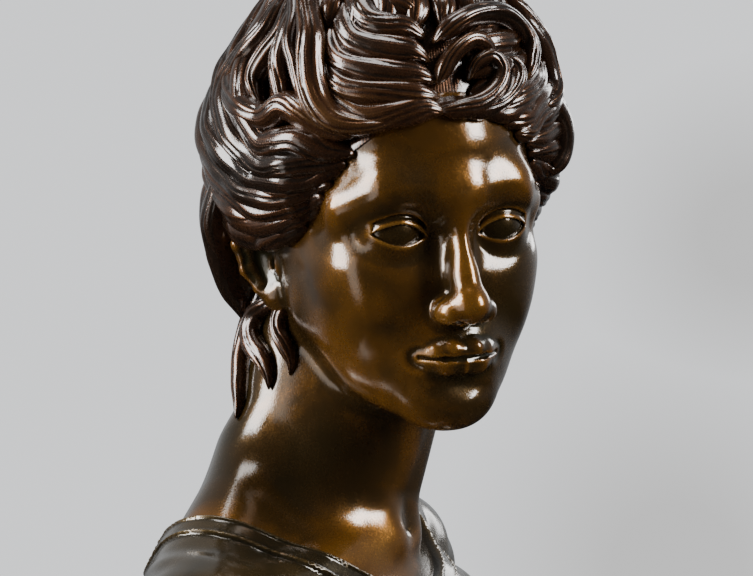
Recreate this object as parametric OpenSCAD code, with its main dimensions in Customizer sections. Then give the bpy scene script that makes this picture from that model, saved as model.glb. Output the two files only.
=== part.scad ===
// Patinated bronze bust of a woman on a turned marble socle.
// The figure faces -Y, +Z is up and the felt under the plinth rests on z = 0.
// The figure is laid out in parts of the head's height: 160 parts from chin to crown.

/* [Bust] */
// Height of the head from chin to crown, under the hair
head_h = 160; // [150:1:168]
// Thickness of the cast bronze walls
wall = 4.5; // [4:0.5:5]
// Turn of the head towards the figure's right shoulder, in degrees
head_turn = 49; // [44:1:54]
// Nod of the head, in degrees
head_nod = 7; // [3:1:10]
// Tilt of the head towards the right shoulder, in degrees
head_tilt = 3; // [1:1:6]

/* [Socle] */
// Side of the square plinth
plinth_side = 128; // [120:1:140]
// Height of the square plinth
plinth_h = 20; // [18:1:26]
// Largest diameter of the turned base
base_d = 118; // [110:1:120]
// Diameter of the waist
waist_d = 54; // [50:1:60]
// Diameter of the marble cap
cap_d = 92; // [88:1:96]

/* [Fastening] */
// Diameter of the threaded tie rod
rod_d = 8; // [8]
// Clearance of the rod in its holes, on the diameter
rod_play = 1; // [0.8:0.1:1.2]

/* [Quality] */
// Points round each ring of the sculpted castings
ring_points = 60; // [44:4:60]

/* [Hidden] */

bronze = "#3b2817";
steel = "#7d7f82";
marble = "#4c1c18";
felt_green = "#23422f";

part = head_h / 160;        // one sculptor's part, in millimetres
gap = 0.15;                 // play between castings that sit on one another
cloth_t = 2.2;              // how far the dress stands off the skin
hem_t = 3.3;                // how far its border stands off the skin

// The stack from the table up
felt_t = 1.5;
base_h = 26;
stem_h = 44;
ring_h = 5;
cap_h = 16;
foot_h = 16;
plinth_z = felt_t;
base_z = plinth_z + plinth_h;
stem_z = base_z + base_h;
ring_z = stem_z + stem_h;
cap_z = ring_z + ring_h;
foot_z = cap_z + cap_h;
bust_z = foot_z + foot_h;   // lowest point of the bust itself
stem_r = 31;                // radius of the bust's stem where it meets the foot
spigot_h = 9;               // foot's spigot inside the stem
bore_d = rod_d + rod_play;
recess_d = 30;              // nut recess under the plinth
recess_h = 12;
bar = [16, 74, 6];
bar_y = 5;
nut_h = 6.5;
nut_af = 13;
washer_t = 1.6;
rod_z0 = plinth_z + 3;
dowel_r = 1.5;
dowel_at = [0, 20];
pin_r = 1.5;                // pins that hold the head's flange in the dress
pin_play = 0.05;            // bore round a pin, on the radius

// ---- Head pose ----
// The head is designed upright, chin at z = 0 and face towards -Y, and turns about its own middle.
head_middle = [0, 0, 80];
head_place = [-3, -27, 257];

function turn_x(p, a) = [p.x, p.y * cos(a) - p.z * sin(a), p.y * sin(a) + p.z * cos(a)];
function turn_y(p, a) = [p.x * cos(a) + p.z * sin(a), p.y, -p.x * sin(a) + p.z * cos(a)];
function turn_z(p, a) = [p.x * cos(a) - p.y * sin(a), p.x * sin(a) + p.y * cos(a), p.z];
function posed(v) = turn_z(turn_y(turn_x(v, head_nod), -head_tilt), -head_turn);
function unposed(v) = turn_x(turn_y(turn_z(v, head_turn), head_tilt), -head_nod);
function from_head(p) = posed(p - head_middle) + head_place;
function to_head(p) = unposed(p - head_place) + head_middle;

// ---- Distance fields, in parts ----
function egg(p, c, r) =
    let (q = p - c,
         near = norm([q.x / r.x, q.y / r.y, q.z / r.z]),
         slope = norm([q.x / (r.x * r.x), q.y / (r.y * r.y), q.z / (r.z * r.z)]))
    slope < 1e-6 ? -min(r) : near * (near - 1) / slope;
function limb(p, a, b, ra, rb) =
    let (ab = b - a, t = max(0, min(1, ((p - a) * ab) / (ab * ab))))
    norm(p - a - ab * t) - ra - (rb - ra) * t;
function join(a, b, k) = let (h = max(k - abs(a - b), 0)) min(a, b) - h * h / (4 * k);
function cut(a, b, k) = -join(-a, b, k);

// A mass is [centre, radii, blend] or [from, to, blend, radius from, radius to].
// A negative blend carves the mass away.
function mass(p, m) = len(m) == 3 ? egg(p, m[0], m[1]) : limb(p, m[0], m[1], m[3], m[4]);
function gather(p, masses, d = 1000, i = 0) =
    i == len(masses) ? d :
    gather(p, masses, let (m = masses[i], s = mass(p, m)) m[2] > 0 ? join(d, s, m[2]) : cut(d, s, -m[2]), i + 1);
function mirrored(p) = [abs(p.x), p.y, p.z];

head_masses = [
    [[0, 9, 103], [50, 64, 57], 1],              // cranium
    [[0, -22, 106], [42, 46.5, 38], 18],         // forehead
    [[0, -22, 60], [37, 43, 40], 16],            // middle of the face
    [[32, 2, 68], [15.5, 28, 24], 14],           // side of the head before the ear
    [[26, -35, 64.5], [16.5, 22, 12], 14],       // cheekbone
    [[20.5, -38, 45], [18, 21, 20], 14],         // cheek
    [[34, -4, 36], [11, -54, 12], 14, 9, 10],    // jaw line
    [[0, -50, 31], [21, 23, 18], 12],            // round of the mouth
    [[0, -60, 11.5], [11, 10.5, 10.5], 11],      // chin
    [[0, -26, 19], [28, 34, 17], 14],            // floor of the jaw
    [[0, -63.5, 92], [0, -76.6, 56], 10, 4.6, 5],    // bridge of the nose
    [[0, -79.2, 51.6], [6.8, 7, 5.8], 6],        // tip of the nose
    [[8, -73.4, 48.8], [4.4, 6.8, 4.8], 4.5],    // wing of the nose
    [[9, -61.5, 90], [24, -57.5, 93], 14, 5.5, 5.5], // brow, inner half
    [[24, -57.5, 93], [37, -44, 86], 14, 5.5, 6],    // brow, outer half
    [[20.5, -75, 77], [14, 12.5, 9.5], -11],     // eye socket
    [[21, -51.6, 77], [12.3, 12.3, 12.3], 4],    // eyelids over the eye
    [[0, -73.2, 33], [14, -66.8, 31.5], 3, 3, 1.4],  // upper lip
    [[0, -72.4, 28.2], [12, -67.5, 29.5], 3, 3.4, 1.4], // lower lip
    [[50, 12, 62], [5, 12, 20], 3]               // ear
];

hair_masses = [
    [[0, 6, 106], [63, 75, 78], 1],              // cap of hair
    [[2, -60, 131], [36, -50, 123], 9, 9, 12],   // wave beside the parting
    [[36, -50, 123], [58, -22, 103], 9, 12, 13], // wave over the temple
    [[58, -22, 103], [60, 24, 88], 9, 13, 15],   // roll above the ear
    [[0, 44, 78], [50, 38, 46], 12],             // hair combed to the nape
    [[30, 54, 50], [0, 70, 54], 9, 12, 13]       // roll at the nape
];

body_masses = [
    [[0, 6, 66], [84, 50, 74], 1],               // rib cage
    [[0, 30, 84], [84, 44, 52], 16],             // upper back
    [[92, 12, 84], [34, 32, 38], 18],            // shoulder
    [[36, -30, 64], [33, 29, 33], 16],           // breast
    [[14, 28, 150], [72, 26, 106], 20, 17, 16],  // trapezius
    [[12, -27, 119], [88, 2, 108], 9, 4.5, 5]    // collarbone
];
bowl = [[0, 8, 108], [116, 74, 102]];            // what the bust is trimmed to below and at the arms
stem = [[0, 4, 34], [0, 0, -40], 22, stem_r / part - cloth_t / part, stem_r / part - cloth_t / part];

throat = from_head([0, 14, 34]);
mastoid_right = from_head([-37, 20, 48]);
mastoid_left = from_head([37, 20, 48]);
nape_right = from_head([-24, 24, 50]);
nape_left = from_head([24, 28, 50]);
neck_masses = [
    [[0, 12, 112], throat, 12, 37, 33],
    [[-7, -25, 122], mastoid_right, 8, 5, 8],
    [[7, -25, 122], mastoid_left, 8, 5, 8],
    [[-8, 24, 130], nape_right, 12, 24, 19],
    [[8, 26, 130], nape_left, 12, 24, 19]
];

function head_field(p) = gather(mirrored(to_head(p)), head_masses);
function neck_field(p) = gather(p, neck_masses);
function body_field(p) = gather(mirrored(p), body_masses);
function skin(p) =
    p.z > 235 ? head_field(p) :
    p.z < 125 ? join(body_field(p), neck_field(p), 14) :
    join(join(body_field(p), neck_field(p), 14), head_field(p), 8);
function hair(p) = gather(mirrored(to_head(p)), hair_masses);
function torso(p) =
    let (figure = join(body_field(p), neck_field(p), 14))
    gather(p, [stem], cut(figure, -egg(p, bowl[0], bowl[1]), 5));

// ---- Rings ----
// A station is [origin, ring radius at the origin, [front, side, back] elevations, share of head pose].
chest_mid = [0, 12, 75];
neckline = [24, 43, 24];

function bearing(i) = let (t = 360 * i / ring_points) t - 32 * sin(t);
function elevation(e, b) = e[1] * pow(sin(b), 2) + (cos(b) > 0 ? e[0] : e[2]) * pow(cos(b), 2);
function level_dir(b) = [sin(b), -cos(b), 0];
function aim(b, e) = level_dir(b) * cos(e) + [0, 0, sin(e)];
function mix(a, b, t) = a * (1 - t) + b * t;
function ray(s, b) =
    let (e = elevation(s[2], b), w = s[3], d = aim(b, e), v = mix(d, posed(d), w), h = level_dir(b))
    [s[0] + s[1] * mix(h, posed(h), w), v / norm(v)];
function between(a, b, t) = [for (i = [0:3]) mix(a[i], b[i], t)];

// How far along a ray the outermost surface at the given level of a field lies
function reach(field, r, level, t = 190, n = 0) =
    let (d = field(r[0] + r[1] * t) - level)
    abs(d) < 0.03 || n > 70 ? t : reach(field, r, level, t - 0.92 * d, n + 1);

function tube_faces(rings, n) = [
    for (k = [0:rings - 1], i = [0:n - 1])
        let (k2 = (k + 1) % rings, j = (i + 1) % n, a = k * n + i, b = k * n + j, c = k2 * n + j, d = k2 * n + i)
        each [[a, c, b], [a, d, c]]
];

// A closed wall made of outer rings, then inner rings back again, joined at both rims
module casting(outer, inner) {
    rings = concat(outer, [for (i = [len(inner) - 1:-1:0]) inner[i]]);
    polyhedron([for (r = rings) each r], tube_faces(len(rings), ring_points));
}

// ---- Sculpted castings ----
function head_station(z) =
    let (middle = max(34, z))
    [from_head([0, 0, middle]), 0, [atan2(z - middle, 72), 0.4 * atan2(z - middle, 72), 0], 1];
crown_r = 11;               // opening in the crown under the knot
function dome_station(e) = [from_head([0, 0, 110]), 0, [e, e, e], 1];
crown_rim = [from_head([0, 12, 110]), crown_r, [90, 90, 90], 1];

flange = [chest_mid, 0, neckline - [7, 7, 7], 0];
collar = [chest_mid, 0, neckline, 0];
mid_neck = [[0, 5, 138], 0, [0, 0, 0], 0];
upper_neck = [[-1, -1, 156], 0, [0, 0, 0], 0.4];
under_jaw = [from_head([0, 10, 32]), 0, [-38, -15, -4], 1];
chin_edge = [from_head([0, 0, 34]), 0, [-28, -12, 0], 1];

head_stations = concat(
    [flange],
    [for (t = [0:0.2:0.8]) between(collar, mid_neck, t)],
    [for (t = [0:0.5:0.5]) between(mid_neck, upper_neck, t)],
    [for (t = [0:0.34:0.7]) between(upper_neck, under_jaw, t)],
    [for (t = [0:0.25:0.8]) between(under_jaw, chin_edge, t)],
    [for (z = [1.5:4.5:18]) head_station(z)],
    [for (z = [19.5:3:51]) head_station(z)],
    [for (z = [55:5:65]) head_station(z)],
    [for (z = [69:3.5:91]) head_station(z)],
    [for (z = [96:7:110]) head_station(z)],
    [for (e = [12:18:66]) dome_station(e)],
    [crown_rim]
);

function skin_ring(s, level) =
    [for (i = [0:ring_points - 1]) let (r = ray(s, bearing(i))) (r[0] + r[1] * reach(function (p) skin(p), r, level)) * part];

module head_casting() {
    last = len(head_stations) - 1;
    inner_at = concat([for (i = [0:4:last - 2]) i], [last]);
    color(bronze)
        difference() {
            translate([0, 0, bust_z])
                casting([for (s = head_stations) skin_ring(s, 0)],
                        [for (i = inner_at) skin_ring(head_stations[i], -wall / part)]);
            joint_pins(pin_r + pin_play);
        }
}

hairline = [from_head([0, 8, 100]), 0, [19, -31, -58], 1];
hair_top = [from_head([0, 12, 100]), crown_r - 1, [90, 90, 90], 1];
hair_steps = 24;
locks_round = 13;           // locks drawn up from the hairline to the knot
lock_relief = 1.3;

// The hair stands off the skin, rounds in to it at its edge, and its locks wind as they rise to the knot
edge_share = 0.13;
edge_t = 2.5;
function relief(b, t) = t > 0.75 ? 0 : lock_relief * sin(240 * t) * cos(locks_round * b + 240 * t);
function hair_reach(r, b, t) =
    let (under = reach(function (p) skin(p), r, 0) + edge_t,
         body = max(0, reach(function (p) hair(p), r, 0) + relief(b, t) - under),
         x = 1 - min(1, t / edge_share))
    under + body * sqrt(1 - x * x);
function hair_ring(s, t) =
    [for (i = [0:ring_points - 1])
        let (b = bearing(i), r = ray(s, b)) (r[0] + r[1] * hair_reach(r, b, t)) * part];

module hair_casting() {
    stations = [for (i = [0:hair_steps]) between(hairline, hair_top, i / hair_steps)];
    inner_at = [for (i = [0:2:hair_steps]) i];
    color(bronze)
        translate([0, 0, bust_z])
            casting([for (i = [0:hair_steps]) hair_ring(stations[i], i / hair_steps)],
                    [for (i = inner_at) skin_ring(stations[i], gap / part)]);
}

belly = [[0, 4, 52], 0, [-42, -28, -42], 0];
stem_top = [[0, 1, 14], 0, [-12, -12, -12], 0];
stem_end = [[0, 0, 0], 0, [0, 0, 0], 0];
dress_steps = 18;
hem_drop = 8;               // degrees from the neckline to the lower edge of its border

function dress_ring(s, level) =
    [for (i = [0:ring_points - 1]) let (r = ray(s, bearing(i))) (r[0] + r[1] * reach(function (p) torso(p), r, level)) * part];

inner_level = (cloth_t - wall) / part;

// Height, above the bust's lowest point, at which the bridge bar's corners meet the inside of the bust
function bar_seat() =
    part * max([for (x = [-1, 1], y = [-1, 1])
        let (from = [x * bar.x / 2, bar_y + y * bar.y / 2, part * 75] / part)
        75 - reach(function (p) torso(p), [from, [0, 0, -1]], inner_level, 100)]) + 0.05;

module dress_casting() {
    hem = [chest_mid, 0, neckline - [hem_drop, hem_drop, hem_drop], 0];
    under_hem = [chest_mid, 0, neckline - [hem_drop + 1, hem_drop + 1, hem_drop + 1], 0];
    body = concat(
        [for (i = [1:dress_steps]) between(under_hem, belly, i / dress_steps)],
        [for (t = [0.2:0.2:1]) between(belly, stem_top, t)],
        [for (t = [0.34:0.33:1]) between(stem_top, stem_end, t)]);
    last = len(body) - 1;
    inner_body = concat([for (i = [1:2:last - 1]) body[i]], [body[last]]);
    outer = concat(
        [dress_ring(collar, hem_t / part), dress_ring(hem, hem_t / part), dress_ring(under_hem, cloth_t / part)],
        [for (s = body) dress_ring(s, cloth_t / part)]);
    inner = concat(
        [dress_ring(collar, gap / part), dress_ring(hem, gap / part), dress_ring(under_hem, inner_level)],
        [for (s = inner_body) dress_ring(s, inner_level)]);
    color(bronze)
        difference() {
            translate([0, 0, bust_z]) casting(outer, inner);
            joint_pins(pin_r + pin_play);
        }
}

// ---- Topknot ----
knot_at = [0, 12, 180];     // middle of the knot, level with the hair below it, in the head's own frame
knot_r = 43;
knot_h = 40;
knot_sink = 10;             // how far the coil wraps down round the hair
knot_points = 40;
knot_spigot_r = 8.5;
knot_seat_r = 28;           // how far out the knot rests on the hair
stud_d = 5;
knot_washer_r = 14;
knot_washer_t = 1.5;
knot_nut_h = 4;

// Height in the head's frame at which the washer meets the inside of the crown
function washer_seat() =
    110 + min([for (b = [0:45:315])
        let (s = [crown_rim[0], knot_washer_r / part, crown_rim[2], 1])
        reach(function (p) skin(p), ray(s, b), -wall / part)]) - 0.05;

// Radius of the knot at height share t and bearing b, with the lobes of a twisted coil
function knot_radius(t, b) =
    knot_r * sqrt(max(0.02, 1 - pow(2 * t - 1, 2))) * (1 + 0.07 * cos(7 * b + 150 * t));
function knot_ring(z, r) = [for (i = [0:knot_points - 1]) let (b = 360 * i / knot_points) [r * cos(b), r * sin(b), z]];
function lobed_ring(t) =
    [for (i = [0:knot_points - 1])
        let (b = 360 * i / knot_points) [cos(b), sin(b), 0] * knot_radius(t, b) + [0, 0, knot_h * t - knot_sink]];
// A ring of the knot's underside, lying just above the hair
function seat_ring(r) =
    [for (i = [0:knot_points - 1])
        let (b = 360 * i / knot_points,
             foot = [knot_at.x + r * cos(b), knot_at.y + r * sin(b), 100],
             up = [from_head(foot), posed([0, 0, 1])])
        [r * cos(b), r * sin(b), 100 - knot_at.z + reach(function (p) hair(p), up, 0) + 3 * gap]];

// A solid skinned over a stack of rings, closed by a fan at each end
module skinned(rings) {
    n = len(rings[0]);
    m = len(rings);
    middle = function (r) [for (k = [0:2]) let (s = [for (p = r) p[k]] * [for (p = r) 1]) s / len(r)];
    points = concat([for (r = rings) each r], [middle(rings[0]), middle(rings[m - 1])]);
    sides = [for (k = [0:m - 2], i = [0:n - 1])
        let (j = (i + 1) % n) each [[k * n + i, (k + 1) * n + j, k * n + j], [k * n + i, (k + 1) * n + i, (k + 1) * n + j]]];
    ends = [for (i = [0:n - 1]) let (j = (i + 1) % n) each [[n * m, i, j], [n * m + 1, (m - 1) * n + j, (m - 1) * n + i]]];
    polyhedron(points, concat(sides, ends));
}

module in_head_frame() {
    translate([0, 0, bust_z])
        translate(head_place * part)
            rotate([0, 0, -head_turn]) rotate([0, -head_tilt, 0]) rotate([head_nod, 0, 0])
                translate(-head_middle * part)
                    children();
}

module topknot_casting() {
    color(bronze)
        in_head_frame()
            translate(knot_at * part)
                difference() {
                    scale(part)
                        skinned(concat(
                            [knot_ring(-14, knot_spigot_r)],
                            [for (r = [knot_spigot_r, 18, knot_seat_r]) seat_ring(r)],
                            [for (t = [0.2:0.066:0.99]) lobed_ring(t)]));
                    translate([0, 0, -16]) cylinder(h = 30, r = stud_d / 2 + 0.05, $fn = 48);
                }
}

// Places its children under the knot, at a height in the head's frame
module under_knot(z) {
    in_head_frame() translate([knot_at.x * part, knot_at.y * part, z]) children();
}

washer_z = washer_seat() * part - knot_washer_t;

module topknot_stud() {
    stud_z0 = washer_z - knot_nut_h - 3;
    stud_z1 = knot_at.z * part + 14;
    color(steel) under_knot(stud_z0) cylinder(h = stud_z1 - stud_z0, r = stud_d / 2, $fn = 48);
}

module topknot_washer() {
    color(steel) under_knot(washer_z) ring_of(knot_washer_r, stud_d / 2 + 0.05, knot_washer_t);
}

module topknot_nut() {
    color(steel) under_knot(washer_z - knot_nut_h) hex_nut(8, stud_d / 2, knot_nut_h);
}

// ---- Locks at the nape ----
// A lock starts at the hair's lower edge and lies on the neck, thick in its middle and pointed at its end.
nape_low = [from_head([0, 14, -14]), 0, [0, 0, 0], 1];
lock_points = 9;
lock_steps = 16;

function lock_row(b, swing, half, rise, t) =
    let (s = between(hairline, nape_low, 0.02 + 0.86 * t),
         middle = b + swing * sin(300 * t),
         share = 0.25 + 0.75 * sin(180 * pow(0.12 + 0.86 * t, 0.85)))
    [for (side = [1, -1], i = [0:lock_points - 1])
        let (u = side * (1 - 2 * i / (lock_points - 1)),
             r = ray(s, middle + half * share * u),
             lift = side > 0 ? rise * share * sqrt(1.04 - u * u) : 0)
        (r[0] + r[1] * reach(function (p) skin(p), r, lift + gap / part)) * part];

module nape_lock(b, swing, half, rise) {
    color(bronze)
        translate([0, 0, bust_z])
            skinned([for (k = [0:lock_steps]) lock_row(b, swing, half, rise, k / lock_steps)]);
}

module nape_lock_right() nape_lock(232, 6, 18, 9);
module nape_lock_left() nape_lock(128, -6, 18, 9);
module nape_lock_middle() nape_lock(182, 6, 16, 8);

// ---- Fastenings ----
module ring_of(r, hole_r, h) {
    difference() {
        cylinder(h = h, r = r, $fn = 72);
        translate([0, 0, -1]) cylinder(h = h + 2, r = hole_r, $fn = 72);
    }
}

module hex_nut(across, hole_r, h) {
    difference() {
        cylinder(h = h, r = across / sqrt(3), $fn = 6);
        translate([0, 0, -1]) cylinder(h = h + 2, r = hole_r, $fn = 72);
    }
}

module neck_joint_pins() {
    color(bronze) joint_pins(pin_r);
}

// The pins of the joint between the head's flange and the dress, pointing outwards
module joint_pins(r) {
    s = between(flange, collar, 0.4);
    translate([0, 0, bust_z])
        for (b = [40, 140, 220, 320]) {
            line = ray(s, b);
            skin_at = reach(function (p) skin(p), line, 0);
            translate((line[0] + line[1] * (skin_at - wall / part)) * part)
                rotate([0, 90 - elevation(s[2], b), b - 90])
                    cylinder(h = wall + 2, r = r, $fn = 32);
        }
}

bar_z = bust_z + bar_seat();
rod_z1 = bar_z + bar.z + washer_t + nut_h + 5;

module bridge_bar() {
    color(steel)
        translate([0, 0, bar_z])
            difference() {
                translate([-bar.x / 2, bar_y - bar.y / 2, 0]) cube(bar);
                translate([0, 0, -1]) cylinder(h = bar.z + 2, d = bore_d, $fn = 72);
            }
}

module tie_rod() {
    color(steel) translate([0, 0, rod_z0]) cylinder(h = rod_z1 - rod_z0, d = rod_d, $fn = 72);
}

module rod_washer_top() {
    color(steel) translate([0, 0, bar_z + bar.z]) ring_of(10, bore_d / 2, washer_t);
}

module rod_nut_top() {
    color(steel) translate([0, 0, bar_z + bar.z + washer_t]) hex_nut(nut_af, rod_d / 2, nut_h);
}

module rod_washer_bottom() {
    color(steel) translate([0, 0, plinth_z + recess_h - washer_t]) ring_of(12, bore_d / 2, washer_t);
}

module rod_nut_bottom() {
    color(steel) translate([0, 0, plinth_z + recess_h - washer_t - nut_h]) hex_nut(nut_af, rod_d / 2, nut_h);
}

module locating_dowel() {
    color(steel)
        translate([dowel_at.x, dowel_at.y, foot_z - 7]) cylinder(h = 12, r = dowel_r, $fn = 48);
}

// ---- Foot and socle ----
// A turned piece with the rod's hole through it; the profile is [radius, height] from its own underside
module turned(profile, z) {
    translate([0, 0, z])
        rotate_extrude($fn = 96)
            polygon(concat([[bore_d / 2, profile[0].y]], profile, [[bore_d / 2, profile[len(profile) - 1].y]]));
}

// Points of a quarter or half round from angle a to b about a centre
function round_points(c, r, a, b, n = 8) =
    [for (i = [0:n]) let (t = a + (b - a) * i / n) c + r * [cos(t), sin(t)]];

foot_r = stem_r + 8;
spigot_r = stem_r - wall - 0.3;

module foot_casting() {
    color(bronze)
        difference() {
            turned(concat(
                [[foot_r - 0.5, 0], [foot_r, 0.5], [foot_r, 3]],
                round_points([foot_r - 2, 4.5], 2.5, -20, 80, 5),
                [for (i = [1:8]) let (t = i / 8) [stem_r + 5 - 5 * sin(90 * t), 8 + 5 * t]],
                round_points([stem_r, foot_h - 1.5], 1.5, -90, 90, 6),
                [[spigot_r, foot_h], [spigot_r, foot_h + spigot_h]]), foot_z);
            translate([0, 0, foot_z + 7]) cylinder(h = foot_h + spigot_h, r = spigot_r - 4, $fn = 96);
            translate([dowel_at.x, dowel_at.y, foot_z - 1]) cylinder(h = 6.2, r = dowel_r + 0.05, $fn = 48);
        }
}

module socle_cap() {
    r = cap_d / 2;
    color(marble)
        difference() {
            turned(concat(
                [[r - 13, 0], [r - 12, 1.5]],
                round_points([r - 12, 8], 6.5, -90, 0, 6),
                [[r - 3, 8], [r - 3, 9.5]],
                round_points([r - 2.5, 12], 2.5, -60, 60, 5),
                [[r - 3, 14.6], [r - 4, cap_h]]), cap_z);
            translate([dowel_at.x, dowel_at.y, foot_z - 7.2]) cylinder(h = 9, r = dowel_r + 0.05, $fn = 48);
        }
}

module socle_ring() {
    r = waist_d / 2 + 6;
    color(bronze)
        turned(concat([[r - 2, 0]], round_points([r - 2, ring_h / 2], ring_h / 2, -90, 90), [[r - 2, ring_h]]), ring_z);
}

module socle_stem() {
    low = base_d / 2 - 13;
    high = waist_d / 2 + 4;
    waist = waist_d / 2;
    color(marble)
        turned(concat(
            [[low, 0], [low, 2.5]],
            [for (i = [1:14]) let (t = i / 14) [waist + (low - 2 - waist) * pow(1 - t, 2.4), 2.5 + (stem_h - 12) * t]],
            [[waist, stem_h - 8]],
            round_points([waist, stem_h - 3.5], 3.5, -80, 60, 6),
            [[high - 1, stem_h]]), stem_z);
}

module socle_base() {
    r = base_d / 2;
    color(marble)
        turned(concat(
            [[r - 1, 0]],
            round_points([r - 8, 8], 8, -85, 85, 12),
            [[r - 7, 16.3], [r - 8.5, 16.3], [r - 8.5, 18.5]],
            round_points([r - 10.5, 21.5], 3, -60, 80, 6),
            [[r - 12, base_h]]), base_z);
}

module plinth() {
    chamfer = 2;
    color(marble)
        difference() {
            translate([0, 0, plinth_z])
                hull() {
                    translate([0, 0, plinth_h / 2]) cube([plinth_side, plinth_side, plinth_h - 2 * chamfer], center = true);
                    translate([0, 0, plinth_h / 2]) cube([plinth_side - 2 * chamfer, plinth_side - 2 * chamfer, plinth_h], center = true);
                }
            translate([0, 0, plinth_z - 1]) cylinder(h = plinth_h + 2, d = bore_d, $fn = 72);
            translate([0, 0, plinth_z - 1]) cylinder(h = recess_h + 1, d = recess_d, $fn = 72);
        }
}

module base_felt() {
    side = plinth_side - 6;
    color(felt_green) translate([-side / 2, -side / 2, 0]) cube([side, side, felt_t]);
}

head_casting();
hair_casting();
topknot_casting();
topknot_stud();
topknot_washer();
topknot_nut();
nape_lock_right();
nape_lock_left();
nape_lock_middle();
dress_casting();
neck_joint_pins();
foot_casting();
bridge_bar();
rod_washer_top();
rod_nut_top();
tie_rod();
locating_dowel();
socle_cap();
socle_ring();
socle_stem();
socle_base();
plinth();
rod_washer_bottom();
rod_nut_bottom();
base_felt();
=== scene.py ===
import math

import bpy
import numpy as np
import openvdb
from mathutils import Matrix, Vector


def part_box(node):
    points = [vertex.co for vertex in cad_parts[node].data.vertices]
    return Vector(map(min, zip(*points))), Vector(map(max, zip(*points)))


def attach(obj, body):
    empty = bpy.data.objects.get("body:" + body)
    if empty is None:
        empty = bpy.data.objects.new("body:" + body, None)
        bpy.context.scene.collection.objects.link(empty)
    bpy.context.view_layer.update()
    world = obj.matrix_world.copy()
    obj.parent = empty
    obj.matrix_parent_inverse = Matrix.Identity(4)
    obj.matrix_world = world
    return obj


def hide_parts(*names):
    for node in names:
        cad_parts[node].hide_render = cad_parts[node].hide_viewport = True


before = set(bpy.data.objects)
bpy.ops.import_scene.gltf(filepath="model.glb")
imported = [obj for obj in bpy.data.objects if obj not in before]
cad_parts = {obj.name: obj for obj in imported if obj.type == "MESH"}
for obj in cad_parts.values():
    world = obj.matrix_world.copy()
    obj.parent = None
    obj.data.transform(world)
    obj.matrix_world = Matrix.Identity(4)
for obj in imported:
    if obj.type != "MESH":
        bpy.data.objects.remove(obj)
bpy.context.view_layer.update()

MM = 0.001
BUST_Z = 128.5          # height of the bust's own zero above the table, in mm

# ---------------------------------------------------------------------------
# The figure is worked out in millimetres. The head is designed upright, chin at z = 0 and face towards -Y,
# then posed; the body keeps the bust's own frame, whose z = 0 is the bust's lowest point.
# ---------------------------------------------------------------------------


def rotation(axis, degrees):
    a = math.radians(degrees)
    c, s = math.cos(a), math.sin(a)
    rows = {
        "x": [[1, 0, 0], [0, c, -s], [0, s, c]],
        "y": [[c, 0, s], [0, 1, 0], [-s, 0, c]],
        "z": [[c, -s, 0], [s, c, 0], [0, 0, 1]],
    }
    return np.array(rows[axis])


POSE = rotation("z", -49) @ rotation("y", -3) @ rotation("x", 7)
HEAD_MIDDLE = np.array([0.0, 0.0, 80.0])
HEAD_PLACE = np.array([-3.0, -27.0, 257.0])


def from_head(p):
    return (np.asarray(p, float) - HEAD_MIDDLE) @ POSE.T + HEAD_PLACE


def to_head(p):
    return (np.asarray(p, float) - HEAD_PLACE) @ POSE + HEAD_MIDDLE


def unit(v):
    return v / np.maximum(np.linalg.norm(v, axis=-1, keepdims=True), 1e-9)


# ---- Distance fields ----
def egg(p, centre, radii):
    q = p - centre
    r = np.asarray(radii, float)
    near = np.linalg.norm(q / r, axis=1)
    slope = np.linalg.norm(q / (r * r), axis=1)
    return near * (near - 1) / np.maximum(slope, 1e-6)


def limb(p, a, b, ra, rb):
    a, b = np.asarray(a, float), np.asarray(b, float)
    ab = b - a
    t = np.clip((p - a) @ ab / (ab @ ab), 0, 1)
    return np.linalg.norm(p - a - t[:, None] * ab, axis=1) - ra - (rb - ra) * t


def join(a, b, k):
    h = np.maximum(k - np.abs(a - b), 0)
    return np.minimum(a, b) - h * h / (4 * k)


def cut(a, b, k):
    return -join(-a, b, k)


def mass(p, m):
    return egg(p, m[0], m[1]) if len(m) == 3 else limb(p, m[0], m[1], m[3], m[4])


def gather(p, masses, d=None, sides=None):
    """Adds masses one after another: (centre, radii, blend) or (from, to, blend, radius, radius).
    A negative blend carves the mass away. Masses off the middle are measured from sides, if it is given."""
    if d is None:
        d = np.full(len(p), 1000.0)
    for m in masses:
        s = mass(p if sides is None or m[0][0] == 0 else sides, m)
        d = join(d, s, m[2]) if m[2] > 0 else cut(d, s, -m[2])
    return d


def both_sides(p, soft):
    """The point's mirror image on the positive side, with the crease in the middle rounded."""
    q = p.copy()
    q[:, 0] = np.sqrt(q[:, 0] ** 2 + soft * soft)
    return q


def chain(points, radii, k):
    return [(a, b, k, ra, rb) for a, b, ra, rb in zip(points, points[1:], radii, radii[1:])]


def detail(d, p, centre, reach, work):
    """Applies work(d, p) to the points within reach of centre only."""
    near = np.sum((p - centre) ** 2, axis=1) < reach * reach
    if near.any():
        d[near] = work(d[near], p[near])
    return d


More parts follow.
